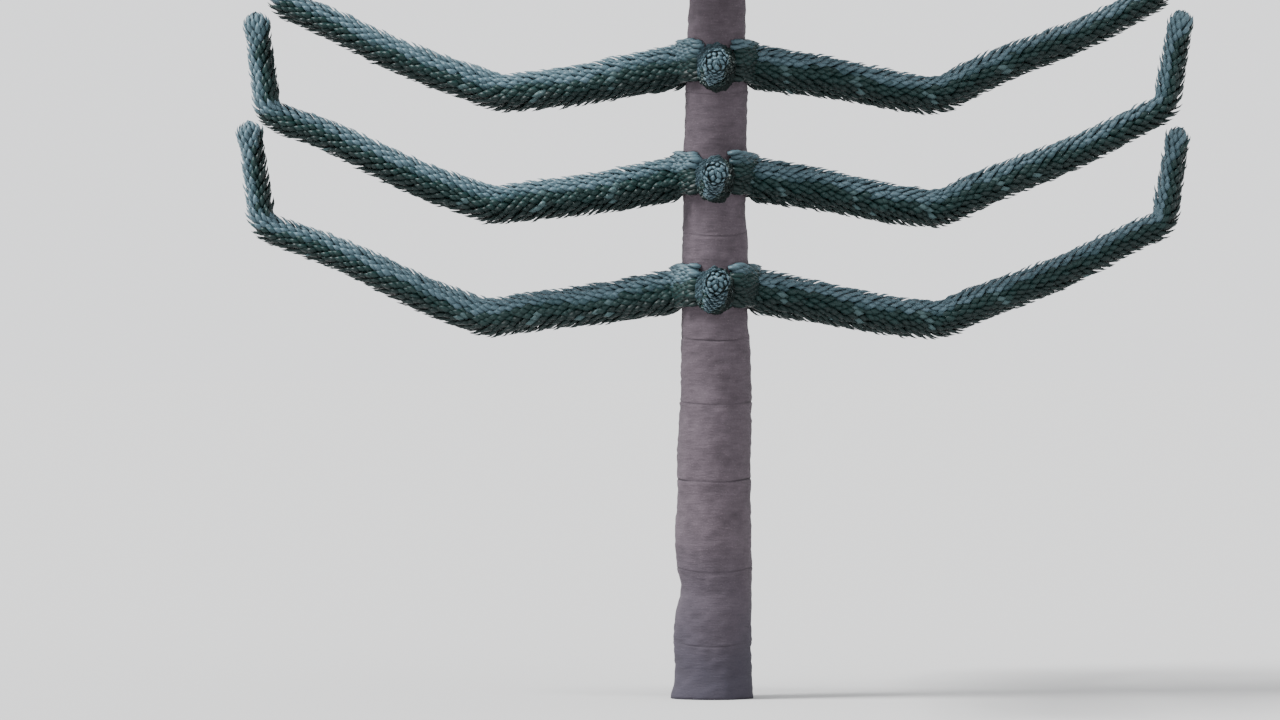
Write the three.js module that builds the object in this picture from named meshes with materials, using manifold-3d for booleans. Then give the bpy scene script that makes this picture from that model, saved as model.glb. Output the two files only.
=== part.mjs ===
// A monkey puzzle tree about 25 years old, from the flat cut at ground level to the tip of its leader.
// Millimetres, +Z up. The origin is the middle of the cut under the trunk. The viewer stands at -Y, with
// +X to the right.
//
// The limbs stand in whorls, one whorl for each year's growth. Each limb is a thick rope: a woody stem
// wrapped in hard scale leaves. It runs out and a little down from the trunk, climbs from an elbow, and
// turns up at a knee near its end. The three lowest tiers have four limbs each, split at the elbow into a
// bough and a tail. Above them stand tiers of five whole arms, then whorls whose arms grow from a leafy
// sleeve round the trunk, and the leader on the trunk's tip.
import * as THREE from 'three';
import { mergeVertices } from 'three/addons/utils/BufferGeometryUtils.js';
import Module from 'manifold-3d';

const wasm = await Module();
wasm.setup();

// The whole tree
const TREE_HEIGHT = 7750;
const FIRST_TIER_HEIGHT = 1290;
const TIER_SPACING = 350;
const SPLIT_TIERS = 3;
const ARM_TIERS = 4;
const WHORL_TIERS = 10;
const CLEARANCE = 0.4;
const SHORTEST_EDGE = 0.8;
const DEGREE = Math.PI / 180;

// The trunk: its radius falls as a power of the height that is left, and flares out to the roots at its
// foot.
const TRUNK_TOP = 7080;
const TRUNK_RADIUS = 122;
const TRUNK_TAPER_POWER = 0.9;
const FLARE = 6;
const FLARE_HEIGHT = 75;
const FLARE_LOBES = 5;
const FLARE_LOBE_DEPTH = 0.45;
const FLARE_LOBE_TURN = 0.6;
const TRUNK_LEAN = 0.009;
const TRUNK_SWAY = 5;
const TRUNK_SWAY_LENGTH = 2300;
const TRUNK_SIDES = 12;
const RING_SWELL = 3.5;
const RING_HALF_WIDTH = 28;
const LOW_RING_HEIGHTS = [170, 400, 680, 920, 1120, 1450, 1890];

// A limb of the lowest tiers: lengths along its own line from the trunk's axis, and headings above the
// horizon.
const LIMB_LENGTH = 1790;
const LIMB_STEPS = 120;
const ELBOW_SHARE = 0.4;
const KNEE_SHARE = 0.83;
const ELBOW_BLEND_SHARE = 0.12;
const KNEE_BLEND_SHARE = 0.09;
const INNER_HEADING = -8.8;
const OUTER_HEADING = 23.3;
const TIP_HEADING = 81;
const ROPE_RADIUS = 70;
const ROPE_TIP_RADIUS = 42;
const ROPE_TAPER_POWER = 1.6;

// The sleeve of leaves that the trunk keeps in the upper crown, from some way below the first whorl.
const SLEEVE_BELOW = 190;
const SLEEVE_THICKNESS = 20;
const SLEEVE_FLARE = 9;
const SLEEVE_SIDES = 8;
const FIRST_WHORL = SPLIT_TIERS + ARM_TIERS;
const BARE_TRUNK_TOP = FIRST_TIER_HEIGHT + FIRST_WHORL * TIER_SPACING - SLEEVE_BELOW;

// How limbs change towards the top of the crown: shorter from tier to tier, and more so above the
// shoulder, thinner and steeper.
const TIER_SHORTENING = 0.015;
const SHOULDER_HEIGHT = 3000;
const SHORTENING = 0.8;
const SHORTENING_POWER = 1.25;
const THINNING = 0.34;
const TIP_THINNING = 0.2;
const GIRTH_SHARE = 0.8;
const INNER_LIFT = 30;
const OUTER_LIFT = 20;

// How much limbs differ from each other. Those of the three lowest tiers are much alike.
const LENGTH_SPREAD = 0.03;
const HEADING_SPREAD = 1.6;
const SWAY_SPREAD = 5;
const LOW_SPREAD = 0.4;

// The scales of the solids: each one stands for a spray of the real leaves, which are 40 mm long. They
// stand on a core in rings, each ring half a scale round from the one before it, and lean forward.
const CORE_SHARE = 0.7;
const SCALE_LEAN = 0.88;
const TIP_OVERRUN = 0.6;

const bark = new THREE.MeshStandardMaterial({ color: 0x6f6977, roughness: 0.9, metalness: 0 });
const olderLeaves = new THREE.MeshStandardMaterial({ color: 0x28433f, roughness: 0.55, metalness: 0 });
const leaves = new THREE.MeshStandardMaterial({ color: 0x2a5048, roughness: 0.5, metalness: 0 });

const smooth = (t) => {
  const x = Math.min(1, Math.max(0, t));
  return x * x * (3 - 2 * x);
};
const mix = (a, b, t) => a + (b - a) * t;

// A repeatable number from -1 to 1 for one trait of one limb.
function vary(tier, limb, trait) {
  const x = Math.sin(tier * 12.9898 + limb * 78.233 + trait * 37.719) * 43758.5453;
  return 2 * (x - Math.floor(x)) - 1;
}

// The trunk's axis and radius at a height
function trunkAxis(z) {
  const turn = (Math.PI * z) / TRUNK_SWAY_LENGTH;
  const across = TRUNK_LEAN * z + TRUNK_SWAY * Math.sin(2 * turn);
  return new THREE.Vector3(across, TRUNK_SWAY * Math.sin(turn), z);
}

function trunkRadius(z) {
  return TRUNK_RADIUS * (1 - z / TREE_HEIGHT) ** TRUNK_TAPER_POWER;
}

function trunkSurface(z, angle, swell) {
  const foot = Math.exp(-z / FLARE_HEIGHT);
  const lobe = 1 + FLARE_LOBE_DEPTH * Math.cos(FLARE_LOBES * angle + FLARE_LOBE_TURN);
  return trunkRadius(z) + FLARE * foot * lobe + swell;
}

// Rings left by old whorls: seven on the low trunk, and one between each two tiers above that.
function ringHeights() {
  const heights = [...LOW_RING_HEIGHTS];
  const crownTop = BARE_TRUNK_TOP - TIER_SPACING / 2;
  for (let z = heights.at(-1) + TIER_SPACING; z < crownTop; z += TIER_SPACING) heights.push(z);
  return heights;
}

// The heights of the trunk's stations, each with how far a ring swells there.
function trunkStations() {
  const stations = [
    [0, 0],
    [FLARE_HEIGHT * 0.45, 0],
    [FLARE_HEIGHT * 1.2, 0],
  ];
  for (const z of ringHeights()) {
    stations.push([z - RING_HALF_WIDTH, 0], [z, RING_SWELL], [z + RING_HALF_WIDTH, 0]);
  }
  const leafyStart = BARE_TRUNK_TOP + TIER_SPACING / 2;
  for (let z = leafyStart; z < TRUNK_TOP; z += 2 * TIER_SPACING) stations.push([z, 0]);
  stations.push([TRUNK_TOP, 0]);
  return stations;
}

// A closed solid from rings of points, each ring with the same count, and a middle point at both ends.
function loft(rings, startPoint, endPoint) {
  const sides = rings[0].length;
  const positions = [];
  const faces = [];
  for (const ring of rings) for (const p of ring) positions.push(p.x, p.y, p.z);
  positions.push(startPoint.x, startPoint.y, startPoint.z, endPoint.x, endPoint.y, endPoint.z);
  const start = rings.length * sides;
  const last = (rings.length - 1) * sides;
  for (let k = 0; k < sides; k++) {
    const next = (k + 1) % sides;
    for (let r = 0; r < rings.length - 1; r++) {
      const a = r * sides;
      const b = a + sides;
      faces.push(a + k, a + next, b + next, a + k, b + next, b + k);
    }
    faces.push(start, next, k, start + 1, last + k, last + next);
  }
  const geometry = new THREE.BufferGeometry();
  geometry.setAttribute('position', new THREE.Float32BufferAttribute(positions, 3));
  geometry.setIndex(faces);
  return geometry;
}

function trunkGeometry(growth) {
  const rings = trunkStations().map(([z, swell]) => {
    const axis = trunkAxis(z);
    return Array.from({ length: TRUNK_SIDES }, (_, k) => {
      const angle = (2 * Math.PI * k) / TRUNK_SIDES;
      const radius = trunkSurface(z, angle, swell) + growth;
      return new THREE.Vector3(axis.x + radius * Math.cos(angle), axis.y + radius * Math.sin(angle), z);
    });
  });
  return loft(rings, trunkAxis(0), trunkAxis(TRUNK_TOP));
}

// Solids for joining and cutting
function solidOf(geometry) {
  const bare = geometry.clone();
  bare.deleteAttribute('normal');
  bare.deleteAttribute('uv');
  const merged = mergeVertices(bare, 1e-3);
  return new wasm.Manifold(
    new wasm.Mesh({
      numProp: 3,
      vertProperties: new Float32Array(merged.attributes.position.array),
      triVerts: new Uint32Array(merged.index.array),
    }),
  );
}

function geometryOf(solid) {
  const mesh = solid.getMesh();
  const geometry = new THREE.BufferGeometry();
  geometry.setAttribute('position', new THREE.BufferAttribute(new Float32Array(mesh.vertProperties), 3));
  geometry.setIndex(new THREE.BufferAttribute(new Uint32Array(mesh.triVerts), 1));
  return geometry;
}

// The same solid without the slivers that joining and cutting leave: two corners of a triangle that lie
// closer together than the shortest edge become one, and the triangle goes.
function withoutSlivers(solid) {
  const geometry = geometryOf(solid);
  const { array } = geometry.attributes.position;
  const corner = (k) => new THREE.Vector3().fromArray(array, 3 * k);
  const standsFor = Array.from({ length: array.length / 3 }, (_, k) => k);
  const meet = (k) => (standsFor[k] === k ? k : meet(standsFor[k]));
  const corners = Array.from(geometry.index.array);
  corners.forEach((from, k) => {
    const to = corners[k % 3 === 2 ? k - 2 : k + 1];
    const isShort = corner(from).distanceTo(corner(to)) < SHORTEST_EDGE;
    if (isShort) standsFor[Math.max(meet(from), meet(to))] = Math.min(meet(from), meet(to));
  });
  const kept = [];
  for (let k = 0; k < corners.length; k += 3) {
    const triangle = corners.slice(k, k + 3).map(meet);
    if (new Set(triangle).size === 3) kept.push(...triangle);
  }
  geometry.setIndex(kept);
  return solidOf(geometry);
}

const grownTrunk = solidOf(trunkGeometry(CLEARANCE));

// The largest body that is left when a piece has been cut clear of the trunk.
function clearOfTrunk(solid) {
  const bodies = solid.subtract(grownTrunk).decompose();
  return withoutSlivers(bodies.sort((a, b) => b.volume() - a.volume())[0]);
}

// What sets one limb: where it starts, which way it points, how long and thick it is, and its three
// headings. Where the trunk is slender, a limb is no wider than its share of the trunk's girth.
function limbOf(tier, index, azimuth) {
  const height = FIRST_TIER_HEIGHT + tier * TIER_SPACING;
  const above = Math.max(0, (height - SHOULDER_HEIGHT) / (TREE_HEIGHT - SHOULDER_HEIGHT));
  const climb = Math.max(0, (tier - SPLIT_TIERS + 1) / (ARM_TIERS + WHORL_TIERS));
  const widest = Math.min(ROPE_RADIUS * (1 - THINNING * climb), GIRTH_SHARE * trunkRadius(height));
  const tipRadius = ROPE_TIP_RADIUS * (1 - TIP_THINNING * climb);
  const reach = (1 - TIER_SHORTENING * tier) * (1 - SHORTENING * above ** SHORTENING_POWER);
  const spread = tier < SPLIT_TIERS ? LOW_SPREAD : 1;
  const trait = (number) => spread * vary(tier, index, number);
  return {
    start: trunkAxis(height),
    azimuth: azimuth * DEGREE,
    length: LIMB_LENGTH * reach * (1 + LENGTH_SPREAD * trait(1)),
    inner: (INNER_HEADING + INNER_LIFT * climb + HEADING_SPREAD * trait(2)) * DEGREE,
    outer: (OUTER_HEADING + OUTER_LIFT * climb + HEADING_SPREAD * trait(3)) * DEGREE,
    tip: (TIP_HEADING + 2 * HEADING_SPREAD * trait(4)) * DEGREE,
    sway: SWAY_SPREAD * trait(5) * DEGREE,
    baseRadius: Math.max(widest, tipRadius),
    tipRadius,
    twist: 3 * vary(tier, index, 6),
  };
}

// The way a limb points at a share of its length.
function limbDirection(limb, share) {
  const elbow = smooth((share - ELBOW_SHARE) / ELBOW_BLEND_SHARE + 0.5);
  const knee = smooth((share - KNEE_SHARE) / KNEE_BLEND_SHARE + 0.5);
  const heading = mix(mix(limb.inner, limb.outer, elbow), limb.tip, knee);
  const azimuth = limb.azimuth + limb.sway * Math.sin(2 * Math.PI * share);
  return new THREE.Vector3(
    Math.cos(azimuth) * Math.cos(heading),
    Math.sin(azimuth) * Math.cos(heading),
    Math.sin(heading),
  );
}

// Marches along the limb and gives its place at any share of its length.
function limbLine(limb) {
  const points = [limb.start.clone()];
  for (let k = 0; k < LIMB_STEPS; k++) {
    const stride = limbDirection(limb, (k + 0.5) / LIMB_STEPS).multiplyScalar(limb.length / LIMB_STEPS);
    points.push(points[k].clone().add(stride));
  }
  return (share) => {
    const k = Math.min(LIMB_STEPS - 1, Math.floor(share * LIMB_STEPS));
    return points[k].clone().lerp(points[k + 1], share * LIMB_STEPS - k);
  };
}

// The rope's outer radius, to the tips of its leaves.
function ropeRadius(limb, share) {
  return mix(limb.baseRadius, limb.tipRadius, share ** ROPE_TAPER_POWER);
}

// Two directions square to the limb: its side and its back.
function limbSquare(direction, azimuth) {
  const side = new THREE.Vector3(-Math.sin(azimuth), Math.cos(azimuth), 0);
  const back = new THREE.Vector3().crossVectors(direction, side).normalize();
  return [new THREE.Vector3().crossVectors(back, direction).normalize(), back];
}

// A point off the limb's middle line, at an angle round it. Angle 0 is the limb's side and a quarter turn
// on its back.
function pointRound(limb, line, share, angle, radius) {
  const [side, back] = limbSquare(limbDirection(limb, share), limb.azimuth);
  return line(share)
    .addScaledVector(side, radius * Math.cos(angle))
    .addScaledVector(back, radius * Math.sin(angle));
}

// A stretch of a limb as one closed solid: a many-sided core with a ring of scales on each step but the
// bare first ones. The step's triangles that point towards the limb's tip each rise to a scale.
function stretchOfLimb(limb, shares, sides, bareSteps) {
  const line = limbLine(limb);
  const end = shares[shares.length - 1];
  const angleOf = (ring, k) => limb.twist + (2 * Math.PI * (k + ring / 2)) / sides;
  const positions = [];
  const faces = [];
  const put = (point) => positions.push(point.x, point.y, point.z) / 3 - 1;
  const rings = shares.map((share, ring) => {
    const radius = CORE_SHARE * ropeRadius(limb, share);
    const corner = (_, k) => put(pointRound(limb, line, share, angleOf(ring, k), radius));
    return Array.from({ length: sides }, corner);
  });
  for (let ring = 0; ring < rings.length - 1; ring++) {
    const scaleShare = mix(shares[ring], shares[ring + 1], SCALE_LEAN);
    for (let k = 0; k < sides; k++) {
      const next = (k + 1) % sides;
      const [a, b] = [rings[ring][k], rings[ring][next]];
      const [c, d] = [rings[ring + 1][k], rings[ring + 1][next]];
      faces.push(b, d, c);
      if (ring < bareSteps) {
        faces.push(a, b, c);
      } else {
        const angle = angleOf(ring + 1, k);
        const scale = put(pointRound(limb, line, scaleShare, angle, ropeRadius(limb, scaleShare)));
        faces.push(a, b, scale, b, c, scale, c, a, scale);
      }
    }
  }
  const first = put(line(shares[0]));
  const overrun = end === 1 ? TIP_OVERRUN * limb.tipRadius : 0;
  const last = put(line(end).addScaledVector(limbDirection(limb, end), overrun));
  const lastRing = rings[rings.length - 1];
  for (let k = 0; k < sides; k++) {
    const next = (k + 1) % sides;
    faces.push(first, rings[0][next], rings[0][k], last, lastRing[k], lastRing[next]);
  }
  const geometry = new THREE.BufferGeometry();
  geometry.setAttribute('position', new THREE.Float32BufferAttribute(positions, 3));
  geometry.setIndex(faces);
  return solidOf(geometry);
}

const tree = new THREE.Group();

function addNode(name, solid, material) {
  const mesh = new THREE.Mesh(geometryOf(solid), material);
  mesh.name = name;
  tree.add(mesh);
}

addNode('trunk', solidOf(trunkGeometry(0)), bark);

// The three lowest tiers. Limbs of one tier stand right, back, left and front, and each tier is turned a
// little from the one below it, so that an upturned tip passes beside the limb above. The front limbs
// are slighter, have stayed nearly level, and turn up only a little at the end.
const QUARTERS = [
  { name: 'right', azimuth: 0, turn: 4 },
  { name: 'back', azimuth: 89.4, turn: 2 },
  { name: 'left', azimuth: 180, turn: -4 },
  { name: 'front', azimuth: 269.3, turn: 0 },
];
const LEVEL_HEADINGS = [-3, -2, 12];
const LEVEL_DROOP = 1.1;
const LEVEL_REACH = 0.87;
const LEVEL_GIRTH = 0.87;
function levelled(limb, tier) {
  const [inner, outer, tip] = LEVEL_HEADINGS.map((heading) => (heading - LEVEL_DROOP * tier) * DEGREE);
  const length = LEVEL_REACH * limb.length;
  return { ...limb, inner, outer, tip, length, sway: 0, baseRadius: LEVEL_GIRTH * limb.baseRadius };
}

const LIMB_SIDES = 5;
const BOUGH_SHARES = [0.02, 0.12, 0.19, 0.26, 0.33, ELBOW_SHARE];
const TAIL_REST = [0.47, 0.54, 0.61, 0.69, 0.77, KNEE_SHARE, 0.885, 0.945, 1];
for (let tier = 0; tier < SPLIT_TIERS; tier++) {
  QUARTERS.forEach(({ name, azimuth, turn }, index) => {
    const upright = limbOf(tier, index, azimuth + turn * (tier % 2 ? -1 : 1));
    const limb = name === 'front' ? levelled(upright, tier) : upright;
    const tailStart = ELBOW_SHARE + CLEARANCE / limb.length;
    const bough = stretchOfLimb(limb, BOUGH_SHARES, LIMB_SIDES, 1);
    const tail = stretchOfLimb(limb, [tailStart, ...TAIL_REST], LIMB_SIDES, 0);
    addNode(`bough_${tier + 1}_${name}`, clearOfTrunk(bough), olderLeaves);
    addNode(`tail_${tier + 1}_${name}`, tail, leaves);
  });
}

// Tiers of five limbs. Each tier is turned from the one below by rather more than half the angle between
// two limbs.
const LIMBS_A_TIER = 5;
const TIER_START = 14;
const TIER_TURN = 43;
const fiveLimbs = (tier) =>
  Array.from({ length: LIMBS_A_TIER }, (_, index) =>
    limbOf(tier, index, TIER_START + TIER_TURN * (tier - SPLIT_TIERS) + (360 / LIMBS_A_TIER) * index),
  );

const ARM_SHARES = [0.02, 0.14, 0.27, ELBOW_SHARE, 0.5, 0.59, 0.68, 0.77, KNEE_SHARE, 0.885, 0.94, 1];
for (let tier = SPLIT_TIERS; tier < FIRST_WHORL; tier++) {
  fiveLimbs(tier).forEach((limb, index) => {
    const arm = stretchOfLimb(limb, ARM_SHARES, LIMB_SIDES, 1);
    addNode(`arm_${tier + 1}_${index + 1}`, clearOfTrunk(arm), leaves);
  });
}

// Whorls in the upper crown, where the trunk still keeps its leaves: five arms on a sleeve round the
// trunk.
const WHORL_SHARES = [0.02, 0.22, ELBOW_SHARE, 0.58, 0.76, 0.87, 1];
const WHORL_ARM_SIDES = 4;
function sleeveSolid(height) {
  const low = height - SLEEVE_BELOW;
  const high = low + TIER_SPACING - CLEARANCE;
  const rings = [
    [low, 0],
    [mix(low, high, 0.5), SLEEVE_FLARE],
    [high, 0],
  ].map(([z, flare]) => {
    const axis = trunkAxis(z);
    const radius = trunkRadius(z) + SLEEVE_THICKNESS + flare;
    return Array.from({ length: SLEEVE_SIDES }, (_, k) => {
      const angle = (2 * Math.PI * k) / SLEEVE_SIDES;
      return new THREE.Vector3(axis.x + radius * Math.cos(angle), axis.y + radius * Math.sin(angle), z);
    });
  });
  return solidOf(loft(rings, trunkAxis(low), trunkAxis(high)));
}

for (let tier = FIRST_WHORL; tier < FIRST_WHORL + WHORL_TIERS; tier++) {
  const arms = fiveLimbs(tier).map((limb) => stretchOfLimb(limb, WHORL_SHARES, WHORL_ARM_SIDES, 1));
  const sleeve = sleeveSolid(FIRST_TIER_HEIGHT + tier * TIER_SPACING);
  addNode(`whorl_${tier + 1}`, clearOfTrunk(wasm.Manifold.union([sleeve, ...arms])), leaves);
}

// The leader: the leafy shoot on the trunk's tip, with the youngest whorl round it.
const LEADER_RADIUS = 46;
const LEADER_TIP_RADIUS = 30;
const LEADER_SHARES = [0, 0.15, 0.3, 0.44, 0.58, 0.72, 0.86, 1];
const leaderTier = FIRST_WHORL + WHORL_TIERS;
const leaderBase = TRUNK_TOP + CLEARANCE;
const leaderShoot = {
  start: trunkAxis(leaderBase),
  azimuth: 0,
  length: TREE_HEIGHT - leaderBase - TIP_OVERRUN * LEADER_TIP_RADIUS,
  inner: Math.PI / 2,
  outer: Math.PI / 2,
  tip: Math.PI / 2,
  sway: 0,
  baseRadius: LEADER_RADIUS,
  tipRadius: LEADER_TIP_RADIUS,
  twist: 0,
};
const shoot = stretchOfLimb(leaderShoot, LEADER_SHARES, LIMB_SIDES, 0);
const youngLimbs = fiveLimbs(leaderTier);
const youngArms = youngLimbs.map((limb) => stretchOfLimb(limb, WHORL_SHARES, WHORL_ARM_SIDES, 1));
addNode('leader', withoutSlivers(wasm.Manifold.union([shoot, ...youngArms])), leaves);

export default tree;
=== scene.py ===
# A monkey puzzle tree about 25 years old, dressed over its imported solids. Metres, +Z up. The viewer
# stands at -Y, with +X to the right, and the trunk's flat cut lies at the origin.
import math
from types import SimpleNamespace

import bpy
import numpy as np
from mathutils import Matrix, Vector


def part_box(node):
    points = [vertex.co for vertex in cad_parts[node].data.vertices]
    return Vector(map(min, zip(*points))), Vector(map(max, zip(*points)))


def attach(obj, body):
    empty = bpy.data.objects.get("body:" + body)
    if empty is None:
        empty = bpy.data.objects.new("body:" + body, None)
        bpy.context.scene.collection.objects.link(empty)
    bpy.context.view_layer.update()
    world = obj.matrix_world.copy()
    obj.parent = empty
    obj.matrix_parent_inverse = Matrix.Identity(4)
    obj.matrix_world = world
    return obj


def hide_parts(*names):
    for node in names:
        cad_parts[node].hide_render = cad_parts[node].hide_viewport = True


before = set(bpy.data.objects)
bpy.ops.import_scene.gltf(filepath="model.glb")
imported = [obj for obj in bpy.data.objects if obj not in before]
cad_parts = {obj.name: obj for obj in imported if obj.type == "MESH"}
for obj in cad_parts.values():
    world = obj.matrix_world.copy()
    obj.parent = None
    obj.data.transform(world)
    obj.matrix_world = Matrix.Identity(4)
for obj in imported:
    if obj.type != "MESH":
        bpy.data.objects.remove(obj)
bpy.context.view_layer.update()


# The studio: a wide pale floor that runs out to an even pale sky. One broad sun, high on the left, gives
# the shade, and the sky fills it. The floor is just as bright as the sky where the two meet.
def linear(colour):
    """The linear red, green, blue and alpha of an sRGB hex colour."""
    channels = [int(colour[k : k + 2], 16) / 255 for k in (1, 3, 5)]
    return [c / 12.92 if c <= 0.04045 else ((c + 0.055) / 1.055) ** 2.4 for c in channels] + [1]


def new_material(name, colour, roughness):
    """A material with its plain base colour, and the shader that it hangs on."""
    material = bpy.data.materials.new(name)
    material.use_nodes = True
    shader = material.node_tree.nodes["Principled BSDF"]
    shader.inputs["Base Color"].default_value = linear(colour)
    shader.inputs["Roughness"].default_value = roughness
    return material, shader


def joined_mesh(name, points, faces, materials, tints=None):
    """One object from arrays of points and three-cornered faces, with a material number for each face."""
    mesh = bpy.data.meshes.new(name)
    mesh.vertices.add(len(points))
    mesh.vertices.foreach_set("co", np.asarray(points, np.float32).ravel())
    mesh.loops.add(faces.size)
    mesh.loops.foreach_set("vertex_index", np.asarray(faces, np.int32).ravel())
    mesh.polygons.add(len(faces))
    mesh.polygons.foreach_set("loop_start", np.arange(0, faces.size, 3, dtype=np.int32))
    for material in materials:
        mesh.materials.append(material)
    if tints is not None:
        mesh.polygons.foreach_set("material_index", np.asarray(tints, np.int32))
    mesh.update(calc_edges=True)
    piece = bpy.data.objects.new(name, mesh)
    bpy.context.scene.collection.objects.link(piece)
    return piece


FLOOR_RADIUS = 300
FLOOR_SIDES = 64
SKY_STRENGTH = 1.7
SUN_STRENGTH = 8.0
SUN_WIDTH = math.radians(20)
SUN_HEIGHT = math.radians(52)
SUN_AZIMUTH = math.radians(196)

floor_material, floor_shader = new_material("pale_studio_floor", "#B1B1B1", roughness=1)
floor_shader.inputs["Specular IOR Level"].default_value = 0
floor_turns = np.linspace(0, 2 * math.pi, FLOOR_SIDES, endpoint=False)
floor_rim = np.stack([np.cos(floor_turns), np.sin(floor_turns), np.zeros(FLOOR_SIDES)], axis=-1)
floor_next = np.roll(np.arange(FLOOR_SIDES), -1)
floor_faces = np.stack([np.full(FLOOR_SIDES, FLOOR_SIDES), np.arange(FLOOR_SIDES), floor_next], axis=-1)
floor = joined_mesh("floor", np.vstack([FLOOR_RADIUS * floor_rim, [0, 0, 0]]), floor_faces, [floor_material])

sky = bpy.data.worlds.new("pale_sky")
sky.use_nodes = True
sky.node_tree.nodes["Background"].inputs["Color"].default_value = linear("#F4F5F7")
sky.node_tree.nodes["Background"].inputs["Strength"].default_value = SKY_STRENGTH
bpy.context.scene.world = sky

sun_data = bpy.data.lights.new("sun", "SUN")
sun_data.energy = SUN_STRENGTH
sun_data.angle = SUN_WIDTH
sun = bpy.data.objects.new("sun", sun_data)
sun.rotation_euler = (0, math.pi / 2 - SUN_HEIGHT, SUN_AZIMUTH)
bpy.context.scene.collection.objects.link(sun)

# The view is level and from far off, and takes in four metres across at the trunk.
VIEW_WIDTH = 4.0
VIEW_DISTANCE = 20.0
EYE_LEFT = 0.225
EYE_HEIGHT = 1.056
SENSOR_WIDTH_MM = 36.0

camera_data = bpy.data.cameras.new("view")
camera_data.sensor_width = SENSOR_WIDTH_MM
camera_data.lens = SENSOR_WIDTH_MM * VIEW_DISTANCE / VIEW_WIDTH
camera_data.clip_end = 4 * FLOOR_RADIUS
camera = bpy.data.objects.new("view", camera_data)
camera.location = (-EYE_LEFT, -VIEW_DISTANCE, EYE_HEIGHT)
camera.rotation_euler = (math.pi / 2, 0, 0)
bpy.context.scene.collection.objects.link(camera)
bpy.context.scene.camera = camera


# The trunk: one straight stem with smooth grey-mauve bark, a slight flare at its foot and thin sagging
# rings where old whorls of limbs stood. It is cut flat at ground level and ends inside the leafy top.
TREE_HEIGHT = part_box("leader")[1][2]
TRUNK_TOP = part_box("trunk")[1][2]
TRUNK_RADIUS = 0.122
TRUNK_TAPER_POWER = 0.9
TRUNK_LEAN = 0.009
TRUNK_SWAY = 0.005
TRUNK_SWAY_LENGTH = 2.3
FLARE = 0.006
FLARE_HEIGHT = 0.075
FLARE_LOBES = 5
FLARE_LOBE_DEPTH = 0.45
FLARE_LOBE_TURN = 0.6
# How high the lowest tier of limbs stands, how far apart tiers are, and how many come before the whorls.
# Leaves clad the trunk from a little below the first whorl.
FIRST_TIER_HEIGHT = 1.29
TIER_SPACING = 0.35
LOW_TIERS = 3
ARM_TIERS = 4
FIRST_WHORL = LOW_TIERS + ARM_TIERS
SLEEVE_BELOW = 0.19
BARE_TRUNK_TOP = FIRST_TIER_HEIGHT + FIRST_WHORL * TIER_SPACING - SLEEVE_BELOW
# The rings on the low trunk: how high each is, and how deep it is worn against the deepest, which also sets
# how dark its painted groove shade is. Above them there is one for each tier. Round the trunk each is worn
# unevenly, down to the least share.
LOW_RINGS = {0.17: 0.4, 0.4: 0.5, 0.68: 0.9, 0.92: 0.85, 1.12: 0.9, 1.45: 0.6, 1.89: 0.6}
HIGH_RING = 0.6
LEAST_WORN = 0.35
RING_SWELL = 0.002
RING_HALF_WIDTH = 0.017
RING_SAG = 0.007
RING_WANDER = 0.004
GROOVE_DEPTH = 0.003
GROOVE_HALF_WIDTH = 0.0028
# The trunk's full and narrow places on its left: how high each is, how far it stands out or, below 0,
# in, and half how long it is.
LEFT_SWELLINGS = [
    (0.0, 0.007, 0.035),
    (0.09, -0.004, 0.04),
    (0.335, -0.016, 0.055),
    (0.51, 0.012, 0.09),
    (0.73, 0.012, 0.13),
]
WOBBLE = 0.005
WRINKLE = 0.0015
WRINKLE_SHADE = 0.2
# How far up painted shade darkens the bark towards the foot, how much, and how far its edge wanders.
FOOT_SHADE_HEIGHT = 0.55
FOOT_SHADE_SHARE = 0.75
FOOT_SHADE_WANDER = 0.15
# The grids of soft noise: how many cells go round the trunk, and how high a cell is.
WOBBLE_CELLS = (4, 0.17)
WRINKLE_CELLS = (14, 0.011)
BUMP_CELLS = (30, 0.022)
RING_WANDER_CELLS = (7, 0.12)
RING_WORN_CELLS = (9, 0.1)
FOOT_SHADE_CELLS = (5, 0.2)
# The mesh: its sides, its even steps of height, and its closer ones below and above each ring.
BARK_SIDES = 128
BARK_STEP = 0.01
RING_STEPS_MM = [-22, -15, -10, -7, -5, -3.6, -2.4, -1.2, 0, 1.2, 2.4, 3.6, 5, 7, 10, 15, 22]
LEAFY_TRUNK_RINGS = 90


def smooth(t):
    x = np.clip(t, 0, 1)
    return x * x * (3 - 2 * x)


def mix(a, b, t):
    return a + (b - a) * t


def trunk_axis(z):
    """The middle of the trunk at a height, or at each of an array of heights."""
    turn = math.pi * z / TRUNK_SWAY_LENGTH
    across = TRUNK_LEAN * z + TRUNK_SWAY * np.sin(2 * turn)
    return np.stack([across, TRUNK_SWAY * np.sin(turn), z], axis=-1)


def trunk_radius(z):
    return TRUNK_RADIUS * np.clip(1 - z / TREE_HEIGHT, 0, 1) ** TRUNK_TAPER_POWER


def soft_noise(seed, angles, heights, cells):
    """Smooth random values from -1 to 1 round the trunk, without a seam. They change from cell to cell."""
    cells_round, cell_height = cells
    column = angles / (2 * math.pi) * cells_round
    row = heights / cell_height
    lattice = np.random.default_rng(seed).uniform(-1, 1, (int(row.max()) + 2, cells_round))
    left = np.floor(column).astype(int)
    low = np.floor(row).astype(int)
    right = (left + 1) % cells_round
    across = smooth(column - left)
    bottom = mix(lattice[low, left % cells_round], lattice[low, right], across)
    top = mix(lattice[low + 1, left % cells_round], lattice[low + 1, right], across)
    return mix(bottom, top, smooth(row - low))


def bark_rings():
    """All the bark's rings, from the ground to where leaves clad the trunk."""
    high = np.arange(max(LOW_RINGS) + TIER_SPACING, BARE_TRUNK_TOP - TIER_SPACING / 2, TIER_SPACING)
    return {**LOW_RINGS, **dict.fromkeys(high, HIGH_RING)}


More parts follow.
